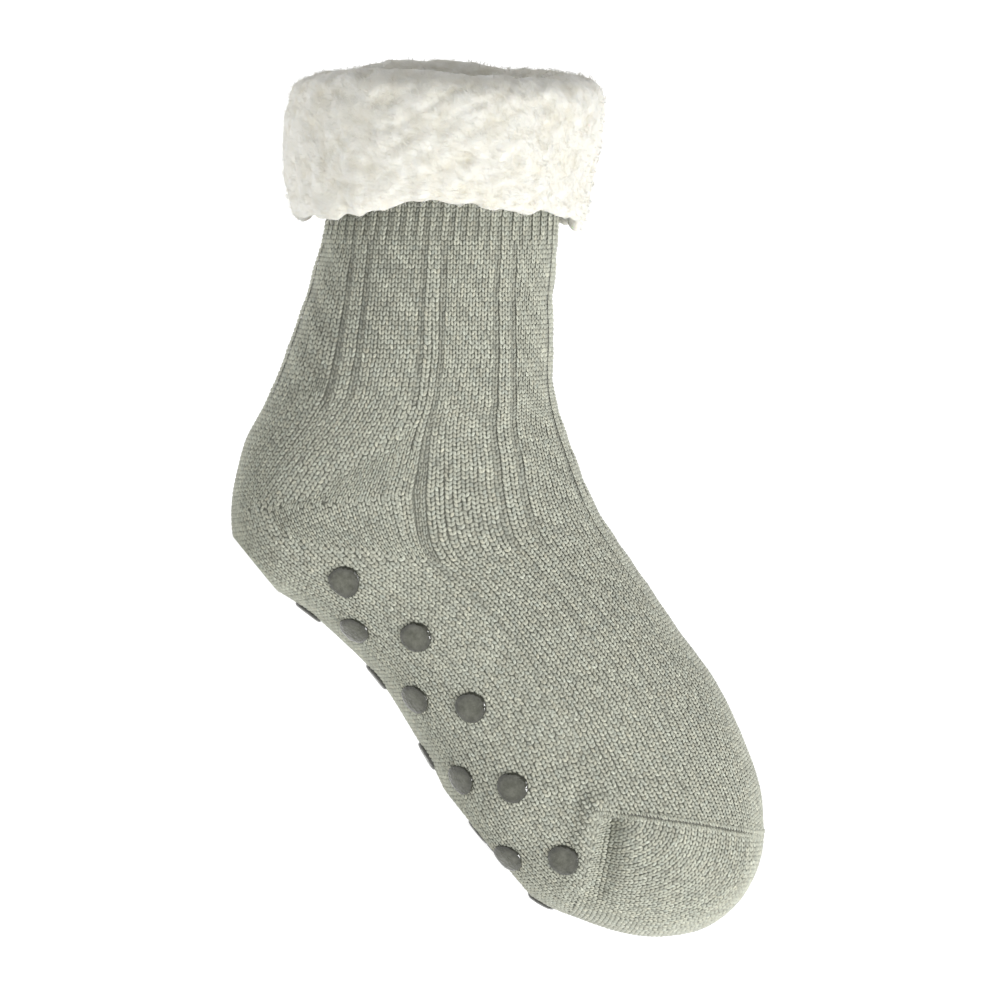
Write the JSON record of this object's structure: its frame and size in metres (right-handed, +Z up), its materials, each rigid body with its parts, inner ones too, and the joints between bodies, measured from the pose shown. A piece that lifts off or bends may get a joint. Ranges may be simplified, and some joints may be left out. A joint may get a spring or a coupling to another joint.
{
  "type": "slipper sock",
  "caption": "Thick knitted slipper sock with a ribbed leg, a turned-over fleece cuff, a linked toe seam and rubber grip dots under the sole.",
  "frame": {"origin": "on the floor under the middle of the heel's flat spot, in the sock's middle plane", "axes": "+X along the foot towards the toe, +Y to the wearer's left, +Z up from the floor"},
  "size_m": [0.3196, 0.0978, 0.1965],
  "materials": {
    "sage_knit": "matte",
    "cream_fleece": "matte",
    "clear_grip_rubber": "gloss"
  },
  "bodies": {
    "root": {"knit_sock": "sage_knit", "fleece_cuff": "cream_fleece", "toe_seam": "sage_knit", "grip_dot_middle_1": "clear_grip_rubber", "grip_dot_middle_2": "clear_grip_rubber", "grip_dot_middle_3": "clear_grip_rubber", "grip_dot_middle_4": "clear_grip_rubber", "grip_dot_middle_5": "clear_grip_rubber", "grip_dot_left_inner_1": "clear_grip_rubber", "grip_dot_left_inner_2": "clear_grip_rubber", "grip_dot_left_inner_3": "clear_grip_rubber", "grip_dot_left_inner_4": "clear_grip_rubber", "grip_dot_right_inner_1": "clear_grip_rubber", "grip_dot_right_inner_2": "clear_grip_rubber", "grip_dot_right_inner_3": "clear_grip_rubber", "grip_dot_right_inner_4": "clear_grip_rubber", "grip_dot_left_outer_1": "clear_grip_rubber", "grip_dot_left_outer_2": "clear_grip_rubber", "grip_dot_left_outer_3": "clear_grip_rubber", "grip_dot_left_outer_4": "clear_grip_rubber", "grip_dot_left_outer_5": "clear_grip_rubber", "grip_dot_right_outer_1": "clear_grip_rubber", "grip_dot_right_outer_2": "clear_grip_rubber", "grip_dot_right_outer_3": "clear_grip_rubber", "grip_dot_right_outer_4": "clear_grip_rubber", "grip_dot_right_outer_5": "clear_grip_rubber"}
  },
  "joints": []
}
